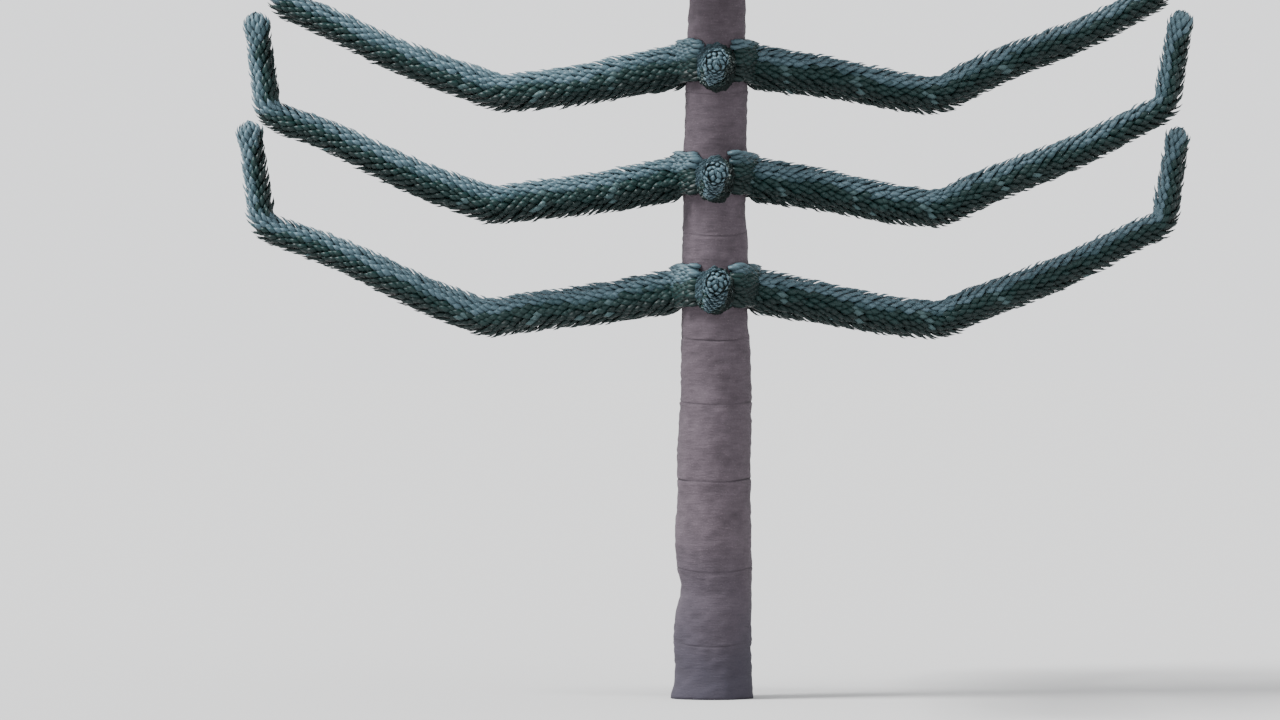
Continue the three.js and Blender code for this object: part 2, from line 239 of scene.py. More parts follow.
def bark_heights():
    """The heights of the mesh's rings: even ones, and close ones at each ring of the bark."""
    heights = list(np.arange(0, BARE_TRUNK_TOP, BARK_STEP))
    for ring in bark_rings():
        near = [ring + step / 1000 for step in RING_STEPS_MM]
        heights = [z for z in heights if not near[0] - BARK_STEP / 2 < z < near[-1] + BARK_STEP / 2] + near
    return np.array(sorted(heights) + list(np.linspace(BARE_TRUNK_TOP, TRUNK_TOP, LEAFY_TRUNK_RINGS)))


def bark_surface(angles, heights):
    """How far the bark stands from the trunk's middle, and how dark the painted shade of the ring grooves and
    wrinkle hollows makes each place.
    """
    lobes = 1 + FLARE_LOBE_DEPTH * np.cos(FLARE_LOBES * angles + FLARE_LOBE_TURN)
    surface = trunk_radius(heights) + FLARE * np.exp(-heights / FLARE_HEIGHT) * lobes
    surface += WOBBLE * soft_noise(1, angles, heights, WOBBLE_CELLS)
    for height, swelling, half_length in LEFT_SWELLINGS:
        surface += swelling * np.exp(-(((heights - height) / half_length) ** 2)) * (1 - np.cos(angles)) / 2
    wrinkles = soft_noise(2, angles, heights, WRINKLE_CELLS)
    wrinkles += soft_noise(3, angles, heights, BUMP_CELLS)
    surface += WRINKLE * wrinkles
    # Painted shade in the wrinkle hollows and, deeper, in the ring grooves.
    groove_shade = WRINKLE_SHADE * np.clip(-wrinkles, 0, 1)
    for ring, strength in bark_rings().items():
        off = heights - ring
        patches = soft_noise(5, angles, np.full(heights.shape, ring), RING_WORN_CELLS)
        worn = strength * mix(LEAST_WORN, 1, smooth(0.5 + patches))
        groove_and_shade = worn * np.exp(-((off / GROOVE_HALF_WIDTH) ** 2))
        surface += RING_SWELL * worn * np.exp(-((off / RING_HALF_WIDTH) ** 2)) - GROOVE_DEPTH * groove_and_shade
        groove_shade = np.maximum(groove_shade, groove_and_shade)
    return surface, groove_shade


def ring_sag(angles, heights):
    """How far the bark is shifted up, so that rings sag at the front and the back and wander a little."""
    sag = RING_SAG * np.cos(2 * angles) + RING_WANDER * soft_noise(4, angles, heights, RING_WANDER_CELLS)
    return sag * smooth(heights / min(LOW_RINGS)) * smooth((TRUNK_TOP - heights) / TIER_SPACING)


def wound_faces(rings, sides):
    """The faces of a skin on rings of points, one ring after another, and of a fan at either end."""
    ring, side = np.meshgrid(np.arange(rings - 1), np.arange(sides), indexing="ij")
    a = ring * sides + side
    b = ring * sides + (side + 1) % sides
    skin = np.concatenate([np.stack([a, b, b + sides], -1), np.stack([a, b + sides, a + sides], -1)])
    near = np.arange(sides)
    following = (near + 1) % sides
    last = (rings - 1) * sides
    start = np.stack([np.full(sides, rings * sides), following, near], -1)
    end = np.stack([np.full(sides, rings * sides + 1), last + near, last + following], -1)
    return np.concatenate([skin.reshape(-1, 3), start, end])


bark_turns = np.linspace(0, 2 * math.pi, BARK_SIDES, endpoint=False)
turn_grid, height_grid = np.meshgrid(bark_turns, bark_heights())
bark_radius, bark_groove_shade = bark_surface(turn_grid, height_grid)
bark_points = trunk_axis(height_grid)
bark_points[..., 0] += bark_radius * np.cos(turn_grid)
bark_points[..., 1] += bark_radius * np.sin(turn_grid)
bark_points[..., 2] += ring_sag(turn_grid, height_grid)
bark_points = np.vstack([bark_points.reshape(-1, 3), [trunk_axis(0.0)], [trunk_axis(TRUNK_TOP)]])


def add_node(material, kind, settings, links):
    """Adds a shader node with its settings, and links what comes before it to its sockets by name."""
    node = material.node_tree.nodes.new(kind)
    for name, value in settings.items():
        if name in node.inputs:
            node.inputs[name].default_value = value
        else:
            setattr(node, name, value)
    for name, source in links.items():
        material.node_tree.links.new(source, node.inputs[name])
    return node


# Young monkey puzzle bark is thin, dull and nearly smooth, so it takes a broad soft light. Its mauve grey is
# clouded in hand-sized patches, and fine wrinkles and small pale pores run round it. The rings' grooves and
# the wrinkle hollows are darkened with painted shade, and the foot is made darker and bluer with painted
# shade. The grain is drawn coarse enough to show.
BARK_CLOUD = 0.09
BARK_GRAIN = 0.005
WRINKLE_LENGTH = 0.04
WRINKLE_SPACING = 0.007
PORE_LENGTH = 0.014
PORE_SPACING = 0.008
PORE_SIZE = 0.2
PORE_SHADE = 0.4
WRINKLE_STREAKS = 0.35
GRAIN_SPECKS = 0.25

bark, bark_shader = new_material("smooth_young_bark", "#4B4249", roughness=0.86)
bark_shader.inputs["Specular IOR Level"].default_value = 0.3
place = add_node(bark, "ShaderNodeTexCoord", {}, {}).outputs["Object"]
wrinkle_place, pore_place = [
    add_node(
        bark, "ShaderNodeMapping", {"Scale": (1 / length, 1 / length, 1 / spacing)}, {"Vector": place}
    ).outputs["Vector"]
    for length, spacing in ((WRINKLE_LENGTH, WRINKLE_SPACING), (PORE_LENGTH, PORE_SPACING))
]
clouds = add_node(bark, "ShaderNodeTexNoise", {"Scale": 1 / BARK_CLOUD, "Detail": 5}, {"Vector": place})
grain = add_node(bark, "ShaderNodeTexNoise", {"Scale": 1 / BARK_GRAIN, "Detail": 3}, {"Vector": place})
wrinkles = add_node(
    bark, "ShaderNodeTexNoise", {"Scale": 1, "Detail": 4, "Roughness": 0.6}, {"Vector": wrinkle_place}
)
pores = add_node(bark, "ShaderNodeTexVoronoi", {"Scale": 1}, {"Vector": pore_place})
pore_spots = add_node(
    bark,
    "ShaderNodeMapRange",
    {"From Min": PORE_SIZE, "From Max": PORE_SIZE / 2, "To Max": PORE_SHADE},
    {"Value": pores.outputs["Distance"]},
)
groove_and_shade = add_node(bark, "ShaderNodeAttribute", {"attribute_name": "groove_and_shade"}, {})
painted_foot_shade = add_node(bark, "ShaderNodeAttribute", {"attribute_name": "painted_foot_shade"}, {})

# The bark's colours, one worked over another.
bark_colour = add_node(
    bark,
    "ShaderNodeMixRGB",
    {"Color1": linear("#3B3339"), "Color2": linear("#5A5058")},
    {"Fac": clouds.outputs["Fac"]},
).outputs["Color"]
for share, pattern in ((WRINKLE_STREAKS, wrinkles), (GRAIN_SPECKS, grain)):
    bark_colour = add_node(
        bark,
        "ShaderNodeMixRGB",
        {"blend_type": "OVERLAY", "Fac": share},
        {"Color1": bark_colour, "Color2": pattern.outputs["Fac"]},
    ).outputs["Color"]
# The last two are painted shade: darker and bluer towards the foot, and dark in the ring grooves and wrinkle
# hollows.
for colour, amount in {
    "#6A6066": pore_spots.outputs["Result"],
    "#2A2A36": painted_foot_shade.outputs["Fac"],
    "#1E191F": groove_and_shade.outputs["Fac"],
}.items():
    bark_colour = add_node(
        bark, "ShaderNodeMixRGB", {"Color2": linear(colour)}, {"Color1": bark_colour, "Fac": amount}
    ).outputs["Color"]

# The bark's relief: the grain, and over it the wrinkles.
bark_grain = add_node(
    bark, "ShaderNodeBump", {"Strength": 0.3, "Distance": 0.002}, {"Height": grain.outputs["Fac"]}
)
bark_relief = add_node(
    bark,
    "ShaderNodeBump",
    {"Strength": 0.6, "Distance": 0.003},
    {"Height": wrinkles.outputs["Fac"], "Normal": bark_grain.outputs["Normal"]},
)
bark.node_tree.links.new(bark_colour, bark_shader.inputs["Base Color"])
bark.node_tree.links.new(bark_relief.outputs["Normal"], bark_shader.inputs["Normal"])

trunk = joined_mesh("trunk_bark", bark_points, wound_faces(len(height_grid), BARK_SIDES), [bark])
# Painted shade: the bark darkens and turns bluer towards the foot.
foot_shade_edge = FOOT_SHADE_WANDER * soft_noise(6, turn_grid, height_grid, FOOT_SHADE_CELLS)
bark_foot_shade = FOOT_SHADE_SHARE * smooth(1 - height_grid / FOOT_SHADE_HEIGHT + foot_shade_edge)
for layer_name, values in {"groove_and_shade": bark_groove_shade, "painted_foot_shade": bark_foot_shade}.items():
    layer = trunk.data.attributes.new(layer_name, "FLOAT", "POINT")
    layer.data.foreach_set("value", np.append(values.ravel(), [0, 0]).astype(np.float32))
trunk.data.shade_smooth()
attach(trunk, "root")
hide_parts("trunk")


# The stems of the three lowest tiers: four woody limbs a tier, right, back, left and front. Each runs
# out and a little down from the trunk, climbs from an elbow, and turns up at a knee near its end.
LIMB_LENGTH = 1.79
ELBOW_SHARE = 0.4
KNEE_SHARE = 0.83
ELBOW_BLEND_SHARE = 0.07
KNEE_BLEND_SHARE = 0.055
LIMB_WAVE = 0.007
LIMB_WAVE_LENGTH = 0.62
# How steeply a limb climbs from the trunk, from its elbow and from its knee, in degrees.
INNER_HEADING = -8.8
OUTER_HEADING = 23.3
TIP_HEADING = 81
# With its leaves a limb is a tapering rope, thicker at its root and its blunt end, and slimmer than the
# trunk that bears it.
ROPE_RADIUS = 0.07
ROPE_TIP_RADIUS = 0.042
ROPE_TAPER_POWER = 1.6
GIRTH_SHARE = 0.8
ROOT_SWELL = 0.09
ROOT_LENGTH = 0.45
BUD_SWELL = 0.008
LEFT_BUD_SWELL = 0.017
BUD_LENGTH = 0.09
# Limbs are shorter from tier to tier, and much shorter above the shoulder of the crown. The upper ones
# are also thinner and steeper.
TIER_SHORTENING = 0.015
SHOULDER_HEIGHT = 3.0
SHORTENING = 0.8
SHORTENING_POWER = 1.25
WHORL_TIERS = 10
THINNING = 0.34
TIP_THINNING = 0.2
INNER_LIFT = 30
OUTER_LIFT = 20
# How much the limbs differ, the low ones less. Angles are in degrees.
LENGTH_SPREAD = 0.03
HEADING_SPREAD = 1.6
TIP_HEADING_SPREAD = 3.2
SWAY_SPREAD = 5
LOW_SPREAD = 0.4
# Where each limb of a low tier grows round the trunk, and how far it turns to and fro by tiers, in degrees.
QUARTERS = {"right": (0, 4), "back": (89.4, 1), "left": (180, -4), "front": (269.3, 0)}
# What sets the front limbs apart. They are nearly level, and droop a little more on each tier up.
LEVEL_HEADINGS = {"inner": -3, "outer": -2, "tip": 12}
LEVEL_DROOP = 1.1
LEVEL_REACH = 0.87
LEVEL_GIRTH = 0.87
LEVEL_FRESH_HIGHLIGHT_LENGTH = 0.6
LEVEL_CLOSING = math.radians(-12)
# What a limb's leaves are like: how long, how far they stand off, how far the last ones do, over what length
# at its end they are fresh and carry a painted highlight, and how far out the first row of paler ones is on
# each limb of a tier.
LEAF_LENGTH = 0.048
TIP_LEAF_LENGTH = 0.04
SLENDER_SHORTENING = 0.5
LEAF_SPREAD = math.radians(25)
BLUNT_CLOSING = math.radians(3)
FRESH_HIGHLIGHT_LENGTH = 0.12
MARK_STARTS = [0.155, 0.1, 0.043, 0.2, 0.12]
# The stems' meshes.
LIMB_STEPS = 120
STEM_SIDES = 12
LOW_STEM_RINGS = 60
DOME_RINGS = 5
STEM_SUNK = 0.03


def vary(tier, index, trait):
    """A repeatable number from -1 to 1 for one trait of one limb, from the far digits of a sine."""
    x = math.sin(tier * 12.9898 + index * 78.233 + trait * 37.719) * 43758.5453
    return 2 * (x - math.floor(x)) - 1


def limb_of(tier, index, azimuth):
    """All that sets one limb: where it starts, which way it grows, and what its rope and leaves are like."""
    height = FIRST_TIER_HEIGHT + tier * TIER_SPACING
    above = max(0, (height - SHOULDER_HEIGHT) / (TREE_HEIGHT - SHOULDER_HEIGHT))
    climb = max(0, (tier - LOW_TIERS + 1) / (ARM_TIERS + WHORL_TIERS))
    widest = min(ROPE_RADIUS * (1 - THINNING * climb), GIRTH_SHARE * trunk_radius(height))
    tip_radius = ROPE_TIP_RADIUS * (1 - TIP_THINNING * climb)
    reach = (1 - TIER_SHORTENING * tier) * (1 - SHORTENING * above**SHORTENING_POWER)
    spread = LOW_SPREAD if tier < LOW_TIERS else 1
    longer, inner, outer, tip, sway = [spread * vary(tier, index, trait) for trait in range(1, 6)]
    return SimpleNamespace(
        start=trunk_axis(height),
        azimuth=math.radians(azimuth),
        length=LIMB_LENGTH * reach * (1 + LENGTH_SPREAD * longer),
        inner=math.radians(INNER_HEADING + INNER_LIFT * climb + HEADING_SPREAD * inner),
        outer=math.radians(OUTER_HEADING + OUTER_LIFT * climb + HEADING_SPREAD * outer),
        tip=math.radians(TIP_HEADING + TIP_HEADING_SPREAD * tip),
        sway=math.radians(SWAY_SPREAD * sway),
        base_radius=max(widest, tip_radius),
        tip_radius=tip_radius,
        root_swell=ROOT_SWELL,
        bud_swell=BUD_SWELL,
        wave=LIMB_WAVE,
        fresh_highlight_length=FRESH_HIGHLIGHT_LENGTH,
        closing=BLUNT_CLOSING,
        mark_start=MARK_STARTS[index],
        seed=100 * tier + index,
    )


def quarter_limbs(tier):
    """The four limbs of a low tier. The back one keeps straight behind the trunk, and the left one has the
    fullest end. The front one is younger and slighter, has stayed nearly level, and keeps its fresh leaves,
    with their painted highlight, over a longer stretch."""
    limbs = []
    for index, (name, (azimuth, turn)) in enumerate(QUARTERS.items()):
        limb = limb_of(tier, index, azimuth + turn * (-1 if tier % 2 else 1))
        if name == "back":
            limb.wave = 0
        if name == "front":
            limb.length *= LEVEL_REACH
            limb.base_radius *= LEVEL_GIRTH
            limb.fresh_highlight_length = LEVEL_FRESH_HIGHLIGHT_LENGTH
            limb.closing = LEVEL_CLOSING
            limb.sway = 0
            for stretch, heading in LEVEL_HEADINGS.items():
                setattr(limb, stretch, math.radians(heading - LEVEL_DROOP * tier))
        if name == "left":
            limb.bud_swell = LEFT_BUD_SWELL
        limbs.append(limb)
    return limbs


def limb_directions(limb, shares):
    """The way a limb points at each share of its length."""
    elbow = smooth((shares - ELBOW_SHARE) / ELBOW_BLEND_SHARE + 0.5)
    knee = smooth((shares - KNEE_SHARE) / KNEE_BLEND_SHARE + 0.5)
    heading = mix(mix(limb.inner, limb.outer, elbow), limb.tip, knee)
    azimuth = limb.azimuth + limb.sway * np.sin(2 * math.pi * shares)
    level = np.cos(heading)
    return np.stack([np.cos(azimuth) * level, np.sin(azimuth) * level, np.sin(heading)], axis=-1)


def limb_side(limb):
    """The level way straight to a limb's side."""
    return np.array([-math.sin(limb.azimuth), math.cos(limb.azimuth), 0])


def limb_line(limb, shares):
    """The places on a limb's middle line, which waves a little, at each share of its length."""
    middles = (np.arange(LIMB_STEPS) + 0.5) / LIMB_STEPS
    strides = limb_directions(limb, middles) * limb.length / LIMB_STEPS
    points = np.vstack([limb.start, limb.start + np.cumsum(strides, axis=0)])
    marks = np.linspace(0, 1, LIMB_STEPS + 1)
    wave = 2 * math.pi * marks * limb.length / LIMB_WAVE_LENGTH + limb.seed
    swing = limb.wave * smooth(marks / ELBOW_SHARE)
    points[:, 2] += swing * np.sin(wave)
    points += (swing * np.cos(wave))[:, None] * limb_side(limb)
    return np.stack([np.interp(shares, marks, points[:, axis]) for axis in range(3)], axis=-1)


def unit(vectors):
    return vectors / np.linalg.norm(vectors, axis=-1, keepdims=True)


def outward_from(limb, shares, angles):
    """The way straight off the limb at an angle round it: 0 is its side, a quarter turn its top."""
    direction = limb_directions(limb, shares)
    top = unit(np.cross(direction, limb_side(limb)))
    side = unit(np.cross(top, direction))
    return side * np.cos(angles)[..., None] + top * np.sin(angles)[..., None]


def leaf_length(limb, shares):
    """Leaves are shorter towards the limb's end, and on thin limbs."""
    slender = min(1, mix(1, limb.base_radius / ROPE_RADIUS, SLENDER_SHORTENING))
    return slender * mix(LEAF_LENGTH, TIP_LEAF_LENGTH, shares)


def dome_share(limb):
    """The share of a limb's length that its stem's round end takes."""
    return (limb.tip_radius + limb.bud_swell - leaf_length(limb, 1) * math.sin(LEAF_SPREAD)) / limb.length


def into_dome(limb, shares):
    """How far each place has gone into the stem's round end, from 0 to 1."""
    return np.clip(1 - (1 - shares) / dome_share(limb), 0, 1)


def stem_radius(limb, shares):
    """The woody stem fills what the rope's leaves leave free inside, and ends round."""
    rope = mix(limb.base_radius, limb.tip_radius, shares**ROPE_TAPER_POWER)
    rope = rope + limb.bud_swell * smooth(1 - (1 - shares) * limb.length / BUD_LENGTH)
    rope = rope + limb.root_swell * limb.base_radius * smooth(1 - shares * limb.length / ROOT_LENGTH)
    stem = rope - leaf_length(limb, shares) * math.sin(LEAF_SPREAD)
    return stem * np.sqrt(1 - into_dome(limb, shares) ** 2)


def inside_trunk(limb, depth):
    """The share of a limb's length at which its middle line lies this deep under the bark."""
    return (trunk_radius(limb.start[2]) - depth) / limb.length


def stem_mesh(name, limbs, rings, material):
    """Joins the stems of several limbs into one piece. Each starts a little inside the trunk."""
    points = []
    faces = []
    turns = np.arange(STEM_SIDES) * 2 * math.pi / STEM_SIDES
    for number, limb in enumerate(limbs):
        dome = 1 - dome_share(limb) * (1 - np.sin(np.linspace(0, math.pi / 2, DOME_RINGS)))
        shares = np.concatenate([np.linspace(inside_trunk(limb, STEM_SUNK), dome[0], rings)[:-1], dome])
        share_grid, turn_grid = np.meshgrid(shares[:-1], turns, indexing="ij")
        radius = stem_radius(limb, share_grid)[..., None]
        skin = limb_line(limb, share_grid) + radius * outward_from(limb, share_grid, turn_grid)
        faces.append(wound_faces(len(share_grid), STEM_SIDES) + number * (skin.size // 3 + 2))
        points += [skin.reshape(-1, 3), limb_line(limb, shares[[0, -1]])]
    piece = joined_mesh(name, np.vstack(points), np.vstack(faces), [material])
    piece.data.shade_smooth()
    return piece


def nodes_named(*starts):
    return [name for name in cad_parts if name.startswith(starts)]


# Under the leaves the stem is green wood, painted dark as shade so the gaps between leaves look dark, and
# rough with old leaf scars.
STEM_GRAIN = 0.012
stem_wood, stem_shader = new_material("stem_wood_painted_shade", "#101C1A", roughness=0.8)
stem_place = add_node(stem_wood, "ShaderNodeTexCoord", {}, {}).outputs["Object"]
scars = add_node(stem_wood, "ShaderNodeTexVoronoi", {"Scale": 1 / STEM_GRAIN}, {"Vector": stem_place})
scarring = add_node(
    stem_wood, "ShaderNodeBump", {"Strength": 0.6, "Distance": 0.003}, {"Height": scars.outputs["Distance"]}
)
stem_wood.node_tree.links.new(scarring.outputs["Normal"], stem_shader.inputs["Normal"])

low_limbs = [quarter_limbs(tier) for tier in range(LOW_TIERS)]
bough_stems = stem_mesh("bough_stems", sum(low_limbs, []), LOW_STEM_RINGS, stem_wood)
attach(bough_stems, "root")
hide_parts(*nodes_named("bough"))


# The leaves of the three lowest tiers: stiff three-cornered scales of leathery leaf, keeled outside,
# that stand on the stem in spirals like tiles and last for ten years or more. At the limb's end they
# close over the bud.
LEAF_WIDTH = 0.028
LEAF_FIELD = 0.00032
LEAF_SUNK = 0.004
SPACING_STEPS = 400
GOLDEN_TURN = math.pi * (3 - math.sqrt(5))
# How the last leaves close, and how those on the stem's round end lean over it.
CLOSING_LENGTH = 0.07
DOME_LEAN = 0.9
DOME_SPREAD = math.radians(8)
DOME_LEAF_SHARE = 0.75
# How much leaves differ.
SPREAD_JITTER = math.radians(3.5)
TURN_JITTER = 0.05
SIZE_JITTER = 0.07
SIZE_LIMITS = (-0.2, 0.1)
LIT_JITTER = 0.04
# The way to the sun. The leaves' tints are painted light and shade: a leaf counts as lit from -1, where it
# looks away from the sun, to 1, where it faces it, and each painted tint begins at its own light. The edge of
# the painted pale band waves along the limb.
SUNWARD = np.array(
    [
        math.cos(SUN_HEIGHT) * math.cos(SUN_AZIMUTH),
        math.cos(SUN_HEIGHT) * math.sin(SUN_AZIMUTH),
        math.sin(SUN_HEIGHT),
    ]
)
SKY_LIT, HALF_LIT, SIDE, UNDER, PAINTED_GLINT_AND_MARK = range(5)
SKY_LIT_FROM = 0.56
HALF_LIT_FROM = 0.46
SIDE_FROM = -0.1
BAND_WAVE = 0.07
BAND_WAVE_LENGTH = 0.37
# Single leaves on the darker sides get a painted glint.
GLINT_SHARE = 0.005
GLINT_BELOW = 0.3
# Fresh leaves carry a painted highlight: they count as lit by this much more. On the front limbs they go on
# in two strips, above and below, that lean a little to one side.
FRESH_HIGHLIGHT_LIFT = 2
FRESH_HIGHLIGHT_LEAN = 0.1
FRESH_HIGHLIGHT_FROM = 0.5
FRESH_HIGHLIGHT_EDGE = 0.3
# The short rows of paler leaves that slant down a limb's sides: how far apart and how wide they are, how
# far they slant, from where to where they go between 1, the limb's top, and -1, and how far out they end.
MARK_SPACING = 0.232
MARK_WIDTH = 0.021
MARK_SLANT = 0.035
MARK_TOP = 0.4
MARK_FOOT = -0.65
MARK_REACH = 0.95
# The band of leaves round the trunk where a tier's limbs leave it. The right and left limbs bear it.
COLLAR_DEPTH = 0.02
COLLAR_HEIGHT_SHARE = 0.84
COLLAR_SPREAD = math.radians(11)
COLLAR_GAP = 0.5
COLLAR_SEED = 1000
SIDE_LIMBS = [0, 2]
# One leaf's outline: how far along it each station lies, how wide it is there, how thick its keel is and
# how far it bows out from the straight line to its point.
KEELED_LEAF = [(0, 0.75, 0.14, 0), (0.3, 1, 0.2, 0.07), (0.68, 0.68, 0.17, 0.09)]
PLAIN_LEAF = [(0, 0.8, 0.12, 0), (0.45, 1, 0.2, 0.09)]


def leaf_shape(stations):
    """A closed leaf of unit length and width, from its root to its point, as points and faces. Each point
    is how far across, along and outward it lies."""
    points = []
    for along, width, keel, bow in stations:
        points += [(-width / 2, along, bow), (width / 2, along, bow), (0, along, bow + keel)]
    faces = [(0, 1, 2)]
    for k in range(0, 3 * len(stations) - 3, 3):
        for left, right in ((k, k + 2), (k + 2, k + 1), (k + 1, k)):
            faces += [(left, right, right + 3), (left, right + 3, left + 3)]
    last = 3 * len(stations) - 3
    tip = last + 3
    points.append((0, 1, 0))
    faces += [(last, last + 2, tip), (last + 2, last + 1, tip), (last + 1, last, tip)]
    return np.array(points), np.array(faces)


def evenly_spaced(marks, girths, field):
    """The marks at which leaves grow along a stem, so that each leaf has the same field of its surface."""
    skin = np.concatenate([[0], np.cumsum((girths[1:] + girths[:-1]) / 2 * np.diff(marks))])
    return np.interp(np.arange(field / 2, skin[-1], field), skin, marks)


def standing_leaves(roots, direction, outward, spread, length, lighter, marked=False):
    """Leaves that lie along a direction and stand off the stem by their spread. How well each counts as lit,
    which picks its painted light or shade, goes by how far its side of the stem faces the sun, and by the
    painted highlight and band wave added to it. Marked ones are paler."""
    outward = unit(outward - (outward * direction).sum(axis=1)[:, None] * direction)
    sunny_side = unit(SUNWARD - (direction @ SUNWARD)[:, None] * direction)
    spread = spread[:, None]
    return SimpleNamespace(
        roots=roots,
        along=direction * np.cos(spread) + outward * np.sin(spread),
        facing=outward * np.cos(spread) - direction * np.sin(spread),
        length=length,
        lit=(outward * sunny_side).sum(axis=1) + lighter,
        marked=np.broadcast_to(marked, len(roots)),
    )


def varied(random, count):
    """The sizes of leaves against their usual one."""
    return 1 + random.normal(0, SIZE_JITTER, count).clip(*SIZE_LIMITS)


def in_mark(limb, shares, angles):
    """Whether each leaf is in one of the short rows of paler leaves that slant down a limb's sides."""
    upward = np.sin(angles)
    along = shares * limb.length
    from_mark = (along - MARK_SLANT * (MARK_TOP - upward) - limb.mark_start) % MARK_SPACING
    return (from_mark < MARK_WIDTH) & (upward > MARK_FOOT) & (upward < MARK_TOP) & (along < MARK_REACH)


def limb_leaves(limb, leaf_field):
    """The leaves of one limb, in a spiral from the bark to the bud, over which the last ones close."""
    random = np.random.default_rng(limb.seed)
    marks = np.linspace(0, 1, SPACING_STEPS)
    shares = evenly_spaced(marks, 2 * math.pi * stem_radius(limb, marks) * limb.length, leaf_field)
    count = len(shares)
    angles = GOLDEN_TURN * np.arange(count) + random.normal(0, TURN_JITTER, count)
    spread = LEAF_SPREAD + random.normal(0, SPREAD_JITTER, count)
    size = varied(random, count)
    direction = limb_directions(limb, shares)
    outward = outward_from(limb, shares, angles)
    roots = limb_line(limb, shares) + (stem_radius(limb, shares) - LEAF_SUNK)[:, None] * outward
    to_end = (1 - shares) * limb.length
    domed = into_dome(limb, shares)
    lean = DOME_LEAN * domed[:, None]
    lying = direction * np.sqrt(1 - lean**2) - outward * lean
    spread = mix(spread, limb.closing, smooth(1 - to_end / CLOSING_LENGTH))
    # Painted highlight: fresh leaves at the end, and two strips along the front limbs, count as better lit,
    # and the painted band's edge waves.
    fresh_highlight_strip = smooth((np.abs(np.sin(angles - FRESH_HIGHLIGHT_LEAN)) - FRESH_HIGHLIGHT_FROM) / FRESH_HIGHLIGHT_EDGE)
    fresh_highlight = smooth(1 - to_end / FRESH_HIGHLIGHT_LENGTH)
    fresh_highlight = FRESH_HIGHLIGHT_LIFT * np.maximum(fresh_highlight, smooth(1 - to_end / limb.fresh_highlight_length) * fresh_highlight_strip)
    wave = BAND_WAVE * np.sin(2 * math.pi * shares * limb.length / BAND_WAVE_LENGTH + limb.seed)
    off_middle = roots[:, :2] - trunk_axis(roots[:, 2])[:, :2]
    free = np.linalg.norm(off_middle, axis=1) > trunk_radius(roots[:, 2]) - LEAF_SUNK
    return standing_leaves(
        roots[free],
        lying[free],
        (outward + lean * direction)[free],
        mix(spread, DOME_SPREAD, domed)[free],
        (size * leaf_length(limb, shares) * mix(1, DOME_LEAF_SHARE, domed))[free],
        (fresh_highlight + wave)[free],
        in_mark(limb, shares, angles)[free],
    )


def round_trunk(turns):
    """The ways straight out of the trunk, and the ways along its bark, at turns round it."""
    out = np.stack([np.cos(turns), np.sin(turns), np.zeros(len(turns))], axis=-1)
    along = np.stack([-np.sin(turns), np.cos(turns), np.zeros(len(turns))], axis=-1)
    return out, along


def collar_leaves(tier, limbs, hosts, leaf_field):
    """The leaves of the band round the trunk where a tier's limbs leave it. They lean round the trunk to
    the nearest host limb, so that the band parts half-way between two hosts, and those at the limbs'
    own height lean out along it as well."""
    random = np.random.default_rng(COLLAR_SEED + tier)
    height = limbs[0].start[2]
    half_height = limbs[0].base_radius
    count = int(2 * math.pi * trunk_radius(height) * math.pi * half_height / leaf_field)
    turns = (GOLDEN_TURN * np.arange(count)) % (2 * math.pi)
    rise = COLLAR_HEIGHT_SHARE * (2 * (np.arange(count) + 0.5) / count - 1)
    swell = np.sqrt(1 - rise**2)
    out, along = round_trunk(turns)
    outward = out * swell[:, None] + np.array([0, 0, 1]) * rise[:, None]
    z = height + half_height * rise
    roots = trunk_axis(z) + out * (trunk_radius(z) + COLLAR_DEPTH * swell - LEAF_SUNK)[:, None]
    away = np.array([(turns - limb.azimuth + math.pi) % (2 * math.pi) - math.pi for limb in limbs])
    clear = np.abs(away).min(axis=0) * trunk_radius(height) > COLLAR_GAP * half_height
    host = np.array(hosts)[np.abs(away[hosts]).argmin(axis=0)]
    host_way = np.array([limb_directions(limb, 0.0) for limb in limbs])[host]
    to_host = -np.sign(away[host, np.arange(count)])[:, None]
    return standing_leaves(
        roots[clear],
        unit(along * to_host + swell[:, None] * host_way)[clear],
        outward[clear],
        (COLLAR_SPREAD + random.normal(0, SPREAD_JITTER, count))[clear],
        (leaf_length(limbs[0], 0.0) * varied(random, count))[clear],
        0,
    )


def leaf_piece(name, sets, shape, seed):
    """Joins sets of leaves into one piece. The colours are painted light and shade, dealt out by spray:
    sprays on the side that looks to the light get a paler, bluer painted highlight, and those below get
    painted shade."""
    shape_points, shape_faces = leaf_shape(shape)
    random = np.random.default_rng(seed)
    leaves = {key: np.concatenate([vars(each)[key] for each in sets]) for key in vars(sets[0])}
    across = np.cross(leaves["along"], leaves["facing"])[:, None]
    length = leaves["length"][:, None, None]
    width = length * LEAF_WIDTH / LEAF_LENGTH
    points = leaves["roots"][:, None] + length * shape_points[:, 1:2] * leaves["along"][:, None]
    points = points + width * (shape_points[:, :1] * across + shape_points[:, 2:] * leaves["facing"][:, None])
    # Painted light and shade: each leaf takes a paler or darker tint by how far it faces the sun.
    lit = leaves["lit"] + random.normal(0, LIT_JITTER, len(points))
    brighter_than = [lit > SKY_LIT_FROM, lit > HALF_LIT_FROM, lit > SIDE_FROM]
    tints = np.select(brighter_than, [SKY_LIT, HALF_LIT, SIDE], UNDER)
    glints = (random.random(len(points)) < GLINT_SHARE) & (lit < GLINT_BELOW)
    # Painted glints, and the pale marks, take the same paler tint.
    tints = np.where(glints | (leaves["marked"] & (tints >= SIDE)), PAINTED_GLINT_AND_MARK, tints)
    first_points = np.arange(len(points)) * len(shape_points)
    faces = (first_points[:, None, None] + shape_faces).reshape(-1, 3)
    return joined_mesh(name, points.reshape(-1, 3), faces, leaf_finishes, np.repeat(tints, len(shape_faces)))


